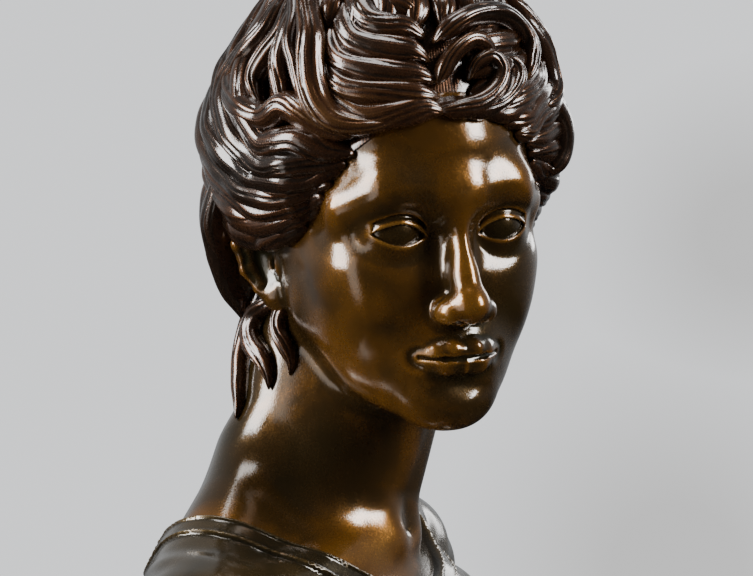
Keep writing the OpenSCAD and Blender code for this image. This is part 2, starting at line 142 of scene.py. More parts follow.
HEAD = [
    ((0, 9, 103), (50, 64, 57), 1),                    # skull
    ((0, -22, 106), (42, 46.5, 38), 18),               # forehead
    ((0, -22, 60), (37, 43, 40), 16),                  # middle of the face
    ((32, 2, 68), (15.5, 28, 24), 20),                 # side of the head before the ear
    ((26, -35, 64.5), (16.5, 22, 12.5), 17),           # cheekbone
    ((20.5, -38, 45.5), (19, 22, 21.5), 18),           # cheek
    ((32, -5, 38), (9, -55, 12), 24, 9, 9.5),          # jaw
    ((0, -50, 31), (21, 23, 18), 12),                  # round of the mouth
    ((0, -60, 11.5), (10.5, 10.5, 10.5), 12),          # chin
    ((0, -26, 19), (28, 34, 17), 14),                  # under the jaw
    ((0, -63.5, 92), (0, -76.2, 56), 13, 4.8, 5.2),    # bridge of the nose
    ((0, -79.2, 51.6), (6.8, 7.0, 5.8), 6),            # tip
    ((8.0, -73.4, 48.8), (4.4, 6.8, 4.8), 4.5),        # wing
    ((9, -61.5, 90), (24, -57.5, 93), 14, 5.5, 5.5),   # brow
    ((24, -57.5, 93), (37, -44, 86), 14, 5.5, 6),
    ((20.5, -75, 77), (14, 12.5, 9.5), -11),           # eye socket
]
EYE = np.array([21.0, -51.6, 77.0])
EYE_R = 11.0


def eye(d, p):
    """The eyeball, two lids over it with an almond slit between them, and a fold above."""
    q = p - EYE
    r = np.linalg.norm(q, axis=1)
    x = q[:, 0] - 0.3
    t = np.clip((x + 10.2) / 20.4, 0, 1)
    arch = np.sin(np.pi * t)
    middle = -1.2 + 1.4 * t
    upper = middle + 4.3 * arch ** 0.75 * (1.12 - 0.24 * t)
    lower = middle - 3.3 * arch ** 0.85
    across = np.maximum(np.abs(x) - 10.2, 0)
    slit = np.maximum(np.maximum(q[:, 2] - upper, lower - q[:, 2]), across)
    front = q[:, 1] < 0
    lids = np.where(front, cut(r - EYE_R - 1.5, slit, 0.9), r - EYE_R - 1.5)
    d = join(d, lids, 4.0)
    d = np.where(front, cut(d, np.maximum(slit, EYE_R - 0.3 - r), 0.9), d)
    d = join(d, r - EYE_R, 0.5)
    crease = np.hypot(r - EYE_R - 2.1, q[:, 2] - upper - 3.4 + 0.8 * t) - 0.45
    crease = np.maximum(crease, np.abs(x + 0.5) - 9.5)
    return cut(d, crease, 2.2)


MOUTH = (
    chain([(0, -72.8, 33.4), (4.5, -72.6, 34.2), (9.5, -69.9, 33.0), (15.6, -64.9, 31.0)],
          [2.5, 2.4, 1.9, 0.7], 3.4)
    + chain([(0, -72.1, 28.0), (6.5, -71.1, 28.2), (14.3, -65.8, 30.3)], [3.2, 2.6, 0.7], 4.0)
)
MOUTH_LINE = chain([(0, -76.0, 31.1), (8, -73.6, 30.9), (15.8, -66.9, 30.8)], [0.5, 0.5, 0.35], -1.6)
MOUTH_SOFT = [
    ((0, -77.4, 43), (0, -77.6, 37), -3.5, 2.0, 2.2),
    ((0, -76.6, 20.5), (10, 6.0, 3.2), -8),
    ((17.2, -68.2, 30.4), (1.6, 2.6, 1.8), -5),
]
NOSE_FINE = [
    ((0, -80.0, 48.3), (0, -73, 45.6), 3.5, 2.3, 2.6),
    ((4.9, -77.0, 44.7), (2.0, 3.8, 2.0), -1.4),
    ((9.8, -72.0, 54.4), (13.2, -68.6, 50.2), -2.6, 0.7, 0.7),
    ((13.2, -68.6, 50.2), (12.6, -69.4, 46), -2.6, 0.7, 0.6),
]


def mouth(d, p):
    d = gather(p, MOUTH_SOFT, d)
    d = gather(p, MOUTH, d)
    return gather(p, MOUTH_LINE, d)


EAR_AT = np.array([48.5, 8.5, 59.5])
EAR_TURN = rotation("z", -40) @ rotation("x", -9)
EAR = (
    [((0.2, 2.5, 0), (3.0, 11.5, 19.5), 3)]
    + chain([(1.9, -4, 1), (2.4, -7, 9), (3.0, -5, 16.5), (3.5, 3, 20), (3.9, 10.5, 16.5), (3.9, 13.5, 7),
             (3.2, 12.0, -4), (2.2, 7.5, -12), (1.5, 3, -16)],
            [1.6, 2.2, 2.5, 2.6, 2.6, 2.5, 2.2, 1.9, 1.8], 2.2)
    + [((1.3, 0.2, -15.5), (2.8, 5.8, 5.6), 3.5), ((5.6, 2.4, -2.0), (4.4, 7.6, 9.6), -2.4),
       ((4.8, 4.2, 13.0), (2.2, 4.6, 3.6), -2.0)]
    + chain([(2.2, 4.2, 10.5), (2.5, 9.2, 5), (2.4, 9.4, -3), (2.2, 6.0, -10)], [1.1, 1.3, 1.3, 1.2], 2.6)
    + [((2.6, -4.8, -3.4), (2.4, 2.6, 4.4), 2.4), ((2.0, -1.0, -2.6), (3.0, 1.6, 2.4), -1.4)]
)


def ear(d, p):
    q = (p - EAR_AT) @ EAR_TURN
    e = gather(q, EAR)
    return join(d, e, 2.2)


def head_field(w, ears=True):
    p = to_head(w)
    d = gather(p, HEAD, None, both_sides(p, 3.0))
    p[:, 0] = np.abs(p[:, 0])
    d = detail(d, p, EYE, 24, eye)
    d = detail(d, p, np.array([0, -70, 32.0]), 30, mouth)
    d = detail(d, p, np.array([6, -74, 47.0]), 16, lambda e, q: gather(q, NOSE_FINE, e))
    return detail(d, p, EAR_AT, 34, ear) if ears else d


BODY = [
    ((0, 6, 66), (84, 50, 74), 1),
    ((0, 30, 84), (84, 44, 52), 16),
    ((92, 12, 84), (34, 32, 38), 18),
    ((36, -30, 64), (33, 29, 33), 16),
    ((14, 28, 150), (72, 26, 106), 20, 17, 16),
    ((12, -27, 119), (88, 2, 108), 9, 4.5, 5),
]
THROAT = from_head((0, 14, 34))
NECK = [
    ((0, 12, 112), THROAT, 12, 37, 33),
    ((-7, -25, 122), from_head((-37, 20, 48)), 8, 5, 8),
    ((7, -25, 122), from_head((37, 20, 48)), 8, 5, 8),
    ((-8, 24, 130), from_head((-24, 24, 50)), 12, 24, 19),
    ((8, 26, 130), from_head((24, 28, 50)), 12, 24, 19),
    ((0, -31, 122), (7, 7, 6), -8),
]
BOWL = ((0, 8, 108), (116, 74, 102))
STEM = ((0, 4, 34), (0, 0, -40), 22, 28.8, 28.8)


def body_field(w):
    return gather(w, BODY, None, both_sides(w, 7.0))


def trunk(w):
    return join(body_field(w), gather(w, NECK), 14)


def skin(w, ears=True):
    """Head, neck and chest: each part is worked out only where it can matter."""
    d = np.full(len(w), 1000.0)
    low = w[:, 2] < 250
    high = w[:, 2] > 120
    d[low] = trunk(w[low])
    if high.any():
        h = np.full(len(w), 1000.0)
        h[high] = head_field(w[high], ears)
        d = join(d, h, 8)
    return d


# ---- The dress ----
CHEST = np.array([0.0, 12.0, 75.0])


def below_neckline(w):
    """Distance down the body from the neckline, in mm, and the bearing round the body from the front."""
    q = w - CHEST
    flat = np.hypot(q[:, 0], q[:, 1])
    bearing = np.arctan2(q[:, 0], -q[:, 1])
    rise = np.degrees(np.arctan2(q[:, 2], flat))
    line = 24 + 19 * np.sin(bearing) ** 2
    return np.radians(line - rise) * np.hypot(flat, q[:, 2]), bearing


def smooth(x, a, b):
    t = np.clip((x - a) / (b - a), 0, 1)
    return t * t * (3 - 2 * t)


def cord(s, at, r):
    return r * np.exp(-(((s - at) / (0.8 * r)) ** 2))


def dress_field(w):
    s, b = below_neckline(w)
    d = gather(w, [STEM], cut(trunk(w), -egg(w, *BOWL), 5))
    front = np.exp(-((b / math.radians(62)) ** 2))
    back = np.exp(-(((np.pi - np.abs(b)) / math.radians(60)) ** 2))
    t = 2.9 - 0.7 * smooth(s, 9.6, 11)
    t += cord(s, 1.1, 0.9) + cord(s, 9.0, 0.8)
    sag = s * (1 + 0.10 * np.cos(3 * b + 0.5)) + 5 * np.cos(2 * b)
    fold = np.sin(sag / 3.0 + 1.4 * np.sin(2 * b)) + 0.5 * np.sin(sag / 1.9 + 1.0 + 2 * b)
    t += fold * (1.5 * front + 0.9 * back) * smooth(s, 12, 26) * (1 - smooth(s, 62, 92))
    pleat = np.sin(13 * b + 0.03 * s) + 0.5 * np.sin(29 * b + 1.3)
    t += 0.9 * pleat * smooth(s, 70, 105) * (1 - smooth(s, 150, 175))
    return cut(d - t, s, 0.7)


# ---- Hair ----
# Hair lies on a rounded mass over the skull. A place on it is given by its bearing (0 is the face, negative
# the head's right), its elevation, both in degrees about the mass's middle, and its lift above it in mm.
HAIR_C = np.array([0.0, 6.0, 106.0])
HAIR_R = np.array([62.0, 74.0, 79.0])
LINE_B = [0, 10, 22, 33, 42, 50, 57, 75, 92, 101, 116, 180]
LINE_E = [14, 13.5, 9, 1, -8, -17, -27, -31, -35, -40, -56, -60]


def hairline_at(b):
    return np.interp(np.abs((b + 180) % 360 - 180), LINE_B, LINE_E)


def towards(b, e):
    b, e = np.radians(b), np.radians(e)
    return np.stack([np.sin(b) * np.cos(e), -np.cos(b) * np.cos(e), np.sin(e)], -1)


MAP_B = np.arange(-180, 181, 3.0)
MAP_E = np.arange(-66, 91, 3.0)


def reach_skin():
    """Distance from the middle of the hair to the skin, over a grid of bearings and elevations."""
    b, e = np.meshgrid(MAP_B, MAP_E, indexing="ij")
    ray = towards(b.ravel(), e.ravel())
    r = np.full(len(ray), 100.0)
    for _ in range(40):
        r -= 0.7 * np.clip(skin(from_head(HAIR_C + ray * r[:, None]), False), -4, 20)
    return r.reshape(b.shape)


SKIN_R = reach_skin()


def skin_r(b, e):
    i = np.clip((((b + 180) % 360) / 3.0), 0, len(MAP_B) - 1.001)
    j = np.clip((e - MAP_E[0]) / 3.0, 0, len(MAP_E) - 1.001)
    i0, j0 = i.astype(int), j.astype(int)
    fi, fj = i - i0, j - j0
    return ((SKIN_R[i0, j0] * (1 - fi) + SKIN_R[i0 + 1, j0] * fi) * (1 - fj)
            + (SKIN_R[i0, j0 + 1] * (1 - fi) + SKIN_R[i0 + 1, j0 + 1] * fi) * fj)


def on_hair(b, e, lift=0.0):
    b, e = np.asarray(b, float), np.asarray(e, float)
    ray = towards(b, e)
    r = 1 / np.linalg.norm(ray / HAIR_R, axis=-1)
    side = np.abs((b + 180) % 360 - 180)
    r = r + 8 * np.exp(-(((side - 104) / 34) ** 2) - ((e + 2) / 30) ** 2)
    slope = np.clip((hairline_at(b + 9) - hairline_at(b - 9)) / 18, -1, 1)
    inside = np.maximum(e - hairline_at(b), 0) / np.sqrt(1 + slope ** 2)
    under = skin_r(b, e) + 1.2
    r = under + np.maximum(r - under, 0) * (1 - np.exp(-((inside / 8.5) ** 1.1)))
    return HAIR_C + ray * (r + lift)[..., None]


def hair_normal(b, e):
    d = 0.6
    across = on_hair(b + d, e) - on_hair(b - d, e)
    up = on_hair(b, e + d) - on_hair(b, e - d)
    return unit(np.cross(across, up))


def spline(controls, step):
    """A smooth curve through the controls, with 24 points along each span between them. The step argument is
    not used.
    """
    c = np.asarray(controls, float)
    c = np.vstack([2 * c[0] - c[1], c, 2 * c[-1] - c[-2]])
    rows = []
    for i in range(1, len(c) - 2):
        t = np.linspace(0, 1, 24, endpoint=False)[:, None]
        rows.append(0.5 * (2 * c[i] + (c[i + 1] - c[i - 1]) * t
                           + (2 * c[i - 1] - 5 * c[i] + 4 * c[i + 1] - c[i + 2]) * t ** 2
                           + (3 * c[i] - c[i - 1] - 3 * c[i + 1] + c[i + 2]) * t ** 3))
    return np.vstack(rows + [c[-2:-1]])


def even(points, extra, step):
    length = np.r_[0, np.cumsum(np.linalg.norm(np.diff(points, axis=0), axis=1))]
    n = max(int(length[-1] / step), 8)
    at = np.linspace(0, length[-1], n + 1)
    columns = np.column_stack([points, extra])
    return np.column_stack([np.interp(at, length, columns[:, i]) for i in range(columns.shape[1])]), at


def wander(rng, x, scale):
    """A slow random wave between about -1 and 1."""
    phases = rng.uniform(0, 2 * np.pi, 3)
    shares = enumerate(zip((1.0, 0.57, 0.31), phases))
    return sum(np.sin(x / (scale * k) + q) / (1 + i) for i, (k, q) in shares) / 1.6


# ---- Meshing ----
def evaluate(field, p, size=150000):
    return np.concatenate([field(p[i:i + size]) for i in range(0, len(p), size)])


def gradient(field, p, e=0.05):
    g = np.zeros_like(p)
    for corner in ((1, 1, 1), (1, -1, -1), (-1, 1, -1), (-1, -1, 1)):
        c = np.array(corner, float)
        g += c * evaluate(field, p + c * e)[:, None]
    return g / (4 * e)


def mesh_field(field, lo, hi, h, step=4):
    """Vertices and quads of the field's zero surface, worked out finely only near the surface."""
    lo, hi = np.array(lo, float), np.array(hi, float)
    n = np.ceil((hi - lo) / (h * step)).astype(int)
    axes = [lo[i] + h * step * np.arange(n[i] + 1) for i in range(3)]
    nodes = np.stack(np.meshgrid(*axes, indexing="ij"), -1).reshape(-1, 3)
    coarse = evaluate(field, nodes).reshape(n + 1)
    values = np.where(coarse[:-1, :-1, :-1] < 0, -2.0 * h, 2.0 * h)
    for i in range(3):
        values = np.repeat(values, step, axis=i)
    least = np.abs(coarse)
    for i in range(3):
        a = [slice(None)] * 3
        b = [slice(None)] * 3
        a[i], b[i] = slice(0, -1), slice(1, None)
        least = np.minimum(least[tuple(a)], least[tuple(b)])
    cells = np.argwhere(least < h * step * 1.3)
    inner = np.stack(np.meshgrid(*[np.arange(step)] * 3, indexing="ij"), -1).reshape(-1, 3)
    index = (cells[:, None, :] * step + inner[None]).reshape(-1, 3)
    values[index[:, 0], index[:, 1], index[:, 2]] = evaluate(field, lo + h * index)
    grid = openvdb.FloatGrid(2.0 * h)
    grid.copyFromArray(np.ascontiguousarray(values, dtype=np.float64))
    points, quads = grid.convertToQuads(isovalue=0.0)
    return lo + h * points.astype(float), quads.astype(int)


def settle(field, p, times=3, limit=0.5):
    for _ in range(times):
        g = gradient(field, p)
        size = np.maximum(np.sum(g * g, axis=1, keepdims=True), 0.05)
        move = evaluate(field, p)[:, None] * g / size
        p = p - move * np.minimum(1, limit / np.maximum(np.linalg.norm(move, axis=1, keepdims=True), 1e-9))
    return p


def proud(field, p, e=1.1):
    """How far the surface stands proud: 0.5 where it is flat, more on ridges, less in hollows."""
    around = sum(evaluate(field, p + sign * e * axis) for axis in np.eye(3) for sign in (-1, 1)) / 6
    return np.clip(0.5 + 4.5 * (around - evaluate(field, p)), 0.34, 1)


def face_outwards(p, quads, normals):
    a, b, c = p[quads[:, 0]], p[quads[:, 1]], p[quads[:, 2]]
    across = np.einsum("ij,ij->i", np.cross(b - a, c - a), normals[quads[:, 0]])
    return quads if across.sum() > 0 else quads[:, ::-1]


def keep_faces(p, quads, keep):
    quads = quads[keep[quads].any(axis=1)]
    used, back = np.unique(quads, return_inverse=True)
    return p[used], back.reshape(quads.shape)


def piece(name, p, faces, material, nodes=(), normals=None, uv=None):
    """A finished mesh from points in the bust's frame, in mm."""
    mesh = bpy.data.meshes.new(name)
    faces = faces.tolist() if hasattr(faces, "tolist") else faces
    mesh.from_pydata(((p + (0, 0, BUST_Z)) * MM).tolist(), [], faces)
    mesh.polygons.foreach_set("use_smooth", [True] * len(mesh.polygons))
    if uv is not None:
        layer = mesh.uv_layers.new(name="flow")
        loops = np.zeros(len(mesh.loops), int)
        mesh.loops.foreach_get("vertex_index", loops)
        layer.data.foreach_set("uv", uv[loops].astype(np.float32).ravel())
    mesh.materials.append(material)
    mesh.validate()
    if normals is not None:
        mesh.normals_split_custom_set_from_vertices(unit(normals).tolist())
    o = bpy.data.objects.new(name, mesh)
    bpy.context.scene.collection.objects.link(o)
    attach(o, "root")
    if nodes:
        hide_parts(*nodes)
    return o


# ---- Materials ----
def node_material(name):
    m = bpy.data.materials.new(name)
    m.use_nodes = True
    tree = m.node_tree
    return m, tree, tree.nodes["Principled BSDF"]


def add(tree, kind, **inputs):
    n = tree.nodes.new("ShaderNode" + kind)
    for key, value in inputs.items():
        n.inputs[key.replace("_", " ")].default_value = value
    return n


def noise(tree, scale, detail_level, distortion=0.0, vector=None, roughness=0.5):
    n = add(tree, "TexNoise", Scale=scale, Detail=detail_level, Distortion=distortion, Roughness=roughness)
    if vector is None:
        vector = tree.nodes.new("ShaderNodeTexCoord").outputs["Object"]
    tree.links.new(vector, n.inputs["Vector"])
    return n.outputs["Fac"]


def ramp(tree, fac, stops):
    r = tree.nodes.new("ShaderNodeValToRGB")
    r.color_ramp.elements[0].position, r.color_ramp.elements[0].color = stops[0][0], (*stops[0][1], 1)
    r.color_ramp.elements[1].position, r.color_ramp.elements[1].color = stops[-1][0], (*stops[-1][1], 1)
    for at, colour in stops[1:-1]:
        r.color_ramp.elements.new(at).color = (*colour, 1)
    tree.links.new(fac, r.inputs["Fac"])
    return r.outputs["Color"]


def math_node(tree, operation, a, b):
    n = tree.nodes.new("ShaderNodeMath")
    n.operation = operation
    for i, v in enumerate((a, b)):
        if isinstance(v, (int, float)):
            n.inputs[i].default_value = v
        else:
            tree.links.new(v, n.inputs[i])
    return n.outputs[0]


def map_range(tree, value, a, b, c, d):
    n = tree.nodes.new("ShaderNodeMapRange")
    tree.links.new(value, n.inputs["Value"])
    for key, v in (("From Min", a), ("From Max", b), ("To Min", c), ("To Max", d)):
        n.inputs[key].default_value = v
    return n.outputs["Result"]


def weighted(tree, a, part_a, b, part_b):
    a, b = math_node(tree, "MULTIPLY", a, part_a), math_node(tree, "MULTIPLY", b, part_b)
    return math_node(tree, "ADD", a, b)


def vector_math(tree, operation, *values):
    """A vector operation on sockets or constants; a dot product and a distance give a number."""
    n = tree.nodes.new("ShaderNodeVectorMath")
    n.operation = operation
    for socket, v in zip(n.inputs, values):
        if isinstance(v, bpy.types.NodeSocket):
            tree.links.new(v, socket)
        else:
            socket.default_value = v
    return n.outputs["Value" if operation in ("DOT_PRODUCT", "DISTANCE") else "Vector"]


def mix_colours(tree, factor, a, b):
    """Colour a where the factor is 0 and b where it is 1, each a socket or a constant."""
    n = tree.nodes.new("ShaderNodeMix")
    n.data_type = "RGBA"
    tree.links.new(factor, n.inputs["Factor"])
    for key, v in (("A", a), ("B", b)):
        if isinstance(v, bpy.types.NodeSocket):
            tree.links.new(v, n.inputs[key])
        else:
            n.inputs[key].default_value = (*v, 1)
    return n.outputs["Result"]


def position(tree):
    return tree.nodes.new("ShaderNodeTexCoord").outputs["Object"]


def flow_map(tree):
    """The map that runs across and along each lock; on the flesh it holds how proud the surface stands."""
    uv = tree.nodes.new("ShaderNodeUVMap")
    uv.uv_map = "flow"
    return uv.outputs["UV"]


def bump(tree, height, strength, distance, under=None):
    """The normal of a relief of the given height, in metres, over another normal."""
    n = add(tree, "Bump", Strength=strength, Distance=distance)
    tree.links.new(height, n.inputs["Height"])
    if under is not None:
        tree.links.new(under, n.inputs["Normal"])
    return n.outputs["Normal"]


def bronze(name, thin, mid, thick, worn, rough, wax=0.08, flow=0.0, flesh=False):
    """Waxed patina: thin colour on the high places, thick in the hollows, a clear wax coat over it all."""
    m, tree, shader = node_material(name)
    link = tree.links.new
    broad = noise(tree, 14, 3, 0.8)
    cloud = noise(tree, 45, 4, 0.4)
    mixed = weighted(tree, broad, 0.75, cloud, 0.25)
    if flesh:
        rise = tree.nodes.new("ShaderNodeSeparateXYZ")
        link(flow_map(tree), rise.inputs["Vector"])
        pointed = rise.outputs["X"]
        ahead = POSE @ (0, -1, 0) * (1, 1, 0)
        middle = float(ahead @ HEAD_PLACE) * MM
        forward = vector_math(tree, "DOT_PRODUCT", position(tree), ahead)
        # On the flesh the colour runs lighter towards the front of the face and darker again at its foremost
        # parts.
        front_lighter = map_range(tree, forward, middle - 0.028, middle + 0.020, -0.16, 0.10)
        foremost_darker = map_range(tree, forward, middle + 0.032, middle + 0.066, 0.0, -0.12)
        mixed = math_node(tree, "ADD", mixed, math_node(tree, "ADD", front_lighter, foremost_darker))
    else:
        geometry = tree.nodes.new("ShaderNodeNewGeometry")
        pointed = map_range(tree, geometry.outputs["Pointiness"], 0.44, 0.56, 0.0, 1.0)
    height = weighted(tree, mixed, 1.0, math_node(tree, "SUBTRACT", pointed, 0.5), 0.5)
    colour = ramp(tree, height, [(0.28, thick), (0.5, mid), (0.64, thin), (0.9, worn)])
    link(colour, shader.inputs["Base Color"])
    spread = weighted(tree, noise(tree, 900, 4), 0.6, cloud, 0.4)
    link(map_range(tree, spread, 0.3, 0.7, rough - 0.06, rough + 0.08), shader.inputs["Roughness"])
    shader.inputs["Metallic"].default_value = 0.6
    shader.inputs["Specular IOR Level"].default_value = 0.06
    shader.inputs["Coat Weight"].default_value = 1.0
    shader.inputs["Coat Roughness"].default_value = wax
    shader.inputs["Coat IOR"].default_value = 1.5
    grain = bump(tree, noise(tree, 1500, 3), 0.35, 0.00012)
    surface = bump(tree, noise(tree, 190, 3, 0.2), 0.3, 0.0005, grain)
    if flow:
        wave = add(tree, "TexWave", Scale=0.28, Distortion=1.6, Detail=2.0, Detail_Scale=0.6)
        wave.bands_direction = "X"
        link(flow_map(tree), wave.inputs["Vector"])
        surface = bump(tree, wave.outputs["Fac"], flow, 0.0004, surface)
    link(surface, shader.inputs["Normal"])
    link(grain, shader.inputs["Coat Normal"])
    return m


skin_bronze = bronze(
    "bronze_skin", thin=(0.115, 0.048, 0.007), mid=(0.040, 0.021, 0.006), thick=(0.015, 0.0125, 0.005),
    worn=(0.20, 0.10, 0.02), rough=0.24, flesh=True)
hair_bronze = bronze(
    "bronze_hair", thin=(0.042, 0.017, 0.007), mid=(0.018, 0.010, 0.006), thick=(0.007, 0.0055, 0.004),
    worn=(0.10, 0.048, 0.016), rough=0.26, wax=0.13, flow=0.25)
dress_bronze = bronze(
    "bronze_dress", thin=(0.048, 0.032, 0.013), mid=(0.024, 0.018, 0.009), thick=(0.012, 0.010, 0.006),
    worn=(0.13, 0.085, 0.03), rough=0.24)

# ---- Flesh ----
def shown(w):
    """True where the skin isn't hidden deep under the hair or the dress."""
    s, _ = below_neckline(w)
    q = to_head(w) - HAIR_C
    rise = np.degrees(np.arctan2(q[:, 2], np.hypot(q[:, 0], q[:, 1])))
    return (s < 8) & (rise < hairline_at(np.degrees(np.arctan2(q[:, 0], -q[:, 1]))) + 12)


# The face and the ears are meshed twice as finely as the rest, in boxes of the head's own frame
FINE = {
    "face": ((-34, -95, 4), (34, -34, 100)),
    "ear_right": ((-70, -6, 36), (-38, 34, 90)),
    "ear_left": ((38, -6, 36), (70, 34, 90)),
}


def inside(local, box, margin):
    return np.all((local > np.array(box[0]) - margin) & (local < np.array(box[1]) + margin), axis=1)


def flesh(name, nodes, p, quads, keep, out=0.0):
    p, quads = keep_faces(p, quads, keep)
    normals = gradient(skin, p)
    quads = face_outwards(p, quads, normals)
    rise = proud(skin, p)
    p = p + unit(normals) * out
    return piece(name, p, quads, skin_bronze, nodes, normals, np.stack([rise, rise], -1))


H = 1.0
points, quads = mesh_field(skin, (-78, -125, 98), (80, 86, 352), H)
points = settle(skin, points)
local = to_head(points)
rough = shown(points)
for box in FINE.values():
    rough &= ~inside(local, box, -1.5)
flesh("bust_flesh", ["head_casting"], points, quads, rough)
for name, box in FINE.items():
    H = 0.5
    points, quads = mesh_field(lambda q: skin(from_head(q)), np.array(box[0]) - 1, np.array(box[1]) + 1, H)
    points = settle(skin, from_head(points), limit=0.25)
    flesh("bust_" + name, [], points, quads, shown(points) & inside(to_head(points), box, 0.3), 0.012)

# ---- Dress ----
H = 1.25
points, quads = mesh_field(dress_field, (-122, -72, -1), (122, 88, 140), H)
points = settle(dress_field, points)
points[:, 2] = np.maximum(points[:, 2], 0)
normals = gradient(dress_field, points)
quads = face_outwards(points, quads, normals)
piece("bust_dress", points, quads, dress_bronze, ["dress_casting"], normals)

# ---- Locks ----
GROOVE = 0.7            # depth of the grooves between the strands of a lock, in mm


class Locks:
    """Collects swept locks of hair and turns them into one mesh."""

    def __init__(self):
        self.points, self.faces, self.uv, self.count = [], [], [], 0

    def grid(self, rows, uv, closed=True):
        n, m = rows.shape[:2]
        index = self.count + np.arange(n * m).reshape(n, m)
        nxt = np.roll(index, -1, axis=1)
        quads = np.stack([index[:-1], nxt[:-1], nxt[1:], index[1:]], -1).reshape(-1, 4)
        self.points.append(rows.reshape(-1, 3))
        self.uv.append(uv.reshape(-1, 2))
        self.faces.extend(quads.tolist())
        if closed:
            self.faces.append(index[0][::-1].tolist())
            self.faces.append(index[-1].tolist())
        self.count += n * m

    def sweep(self, points, normals, width, height, strands, rng, ends=(0.25, 0.25), sink=2.5, across=29):
        """A lock along the points: width is half its breadth, height its crown, strands its combed ridges."""
        n = len(points)
        tangent = unit(np.gradient(points, axis=0))
        side = unit(np.cross(tangent, normals))
        up = unit(np.cross(side, tangent))
        along = np.r_[0, np.cumsum(np.linalg.norm(np.diff(points, axis=0), axis=1))]
        t = along / along[-1]
        taper = np.ones(n)
        if ends[0]:
            taper *= 0.12 + 0.88 * np.sin(np.clip(t / ends[0], 0, 1) * np.pi / 2) ** 0.8
        if ends[1]:
            taper *= 0.08 + 0.92 * np.sin(np.clip((1 - t) / ends[1], 0, 1) * np.pi / 2) ** 0.8
        w = width * taper * (1 + 0.12 * wander(rng, along, 11))
        h = height * taper ** 0.7 * (1 + 0.15 * wander(rng, along, 9))
        u = np.sin(np.linspace(-np.pi / 2, np.pi / 2, across))
        dome = (1 - np.abs(u) ** 2.4) ** 0.6
        drift = 0.55 * wander(rng, along, 16)
        phase = (u[None] * 0.5 + 0.5) * strands + drift[:, None]
        phase = phase + 0.35 * wander(rng, along[:, None] + 9 * u[None], 13)
        phase = phase + 0.3 * np.sin(2.2 * phase + rng.uniform(0, 6))
        crest = np.abs(np.sin(np.pi * phase)) ** 0.5
        uneven = 1 + 0.3 * np.sin(1.7 * np.floor(phase) + rng.uniform(0, 6))
        groove = GROOVE * (1 - crest) * np.minimum(1, taper[:, None] * 1.2)
        top = h[:, None] * dome[None] * (0.82 + 0.18 * uneven) - groove
        lean = 0.5 * wander(rng, along, 20)[:, None] * (1 - u[None] ** 2) * 0.35 * np.reshape(width, (-1, 1))
        rows = (points[:, None] + side[:, None] * (w[:, None] * u[None] + lean)[..., None]
                + up[:, None] * (top - 0.4)[..., None])
        low_u = np.array([0.92, 0.4, -0.4, -0.92])
        low = (points[:, None] + side[:, None] * (w[:, None] * low_u[None])[..., None]
               - up[:, None] * (sink * np.minimum(1, taper * 1.3))[:, None, None])
        rows = np.concatenate([rows, low], axis=1)
        uv = np.zeros(rows.shape[:2] + (2,))
        uv[:, :across, 0] = w[:, None] * u[None] + drift[:, None] * 2
        uv[:, across:, 0] = w[:, None] * low_u[None]
        uv[..., 1] = along[:, None]
        self.grid(rows, uv)

    def lock(self, guide, width=5.5, height=5.0, strands=4, seed=0, step=1.1, **more):
        """A lock that follows a guide of (bearing, elevation, lift) over the hair."""
        rng = np.random.default_rng(seed)
        g = spline(guide, step)
        surface = on_hair(g[:, 0], g[:, 1], g[:, 2])
        rows, _ = even(surface, g, step)
        self.sweep(rows[:, :3], hair_normal(rows[:, 3], rows[:, 4]), width, height, strands, rng, **more)

    def hanging(self, guide, width, height, strands, seed, step=0.8, **more):
        """A loose lock through points of the head's own frame, each drawn to the skin, then lifted off."""
        rng = np.random.default_rng(seed)
        g = spline(guide, step)
        bare = lambda w: skin(w, False)
        w = settle(bare, from_head(g[:, :3]), 5, 6.0)
        n = unit(gradient(bare, w))
        rows, _ = even(to_head(w + n * g[:, 3:4]), n @ POSE, step)
        self.sweep(rows[:, :3], unit(rows[:, 3:6]), width, height, strands, rng, sink=height, **more)

    def loose(self, guide, outward, width, height, strands, seed, step=0.9, **more):
        """A lock through points of the head's own frame that hangs clear of the skin."""
        g = spline(guide, step)
        rows, _ = even(g, g[:, :1], step)
        facing = np.tile(unit(np.array(outward, float)), (len(rows), 1))
        self.sweep(rows[:, :3], facing, width, height, strands, np.random.default_rng(seed), **more)

    def rope(self, strands, turns, seed, step=1.2):
        """A twisted coil of locks wound up into a knot on the crown."""
        rng = np.random.default_rng(seed)
        for k in range(strands):
            a = np.linspace(0, 2 * np.pi * turns, 400)
            t = a / a[-1]
            ring = 31 - 15 * smooth(t, 0.42, 0.6) - 9 * smooth(t, 0.86, 1.0)
            thick = 12.5 - 3.0 * smooth(t, 0.42, 0.62) - 3 * smooth(t, 0.85, 1.0)
            height = 181 + 18 * smooth(t, 0.42, 0.62) - 5 * smooth(t, 0.9, 1.0)
            out = np.stack([np.sin(a + 2.4), -np.cos(a + 2.4), np.zeros_like(a)], -1)
            middle = out * ring[:, None] + np.stack([0 * a, 12 + 0 * a, height], -1)
            turn = 2 * np.pi * k / strands + 2.1 * a
            n = out * np.cos(turn)[:, None] + np.array([0, 0, 1]) * np.sin(turn)[:, None]
            rows, _ = even(middle + n * (0.6 * thick)[:, None], np.column_stack([n, thick]), step)
            self.sweep(rows[:, :3], unit(rows[:, 3:6]), 0.82 * rows[:, 6], 0.42 * rows[:, 6], 4, rng,
                       ends=(0.05, 0.05), sink=4, across=25)

    def make(self, name, nodes):
        p = from_head(np.vstack(self.points))
        return piece(name, p, self.faces, hair_bronze, nodes, None, np.vstack(self.uv))


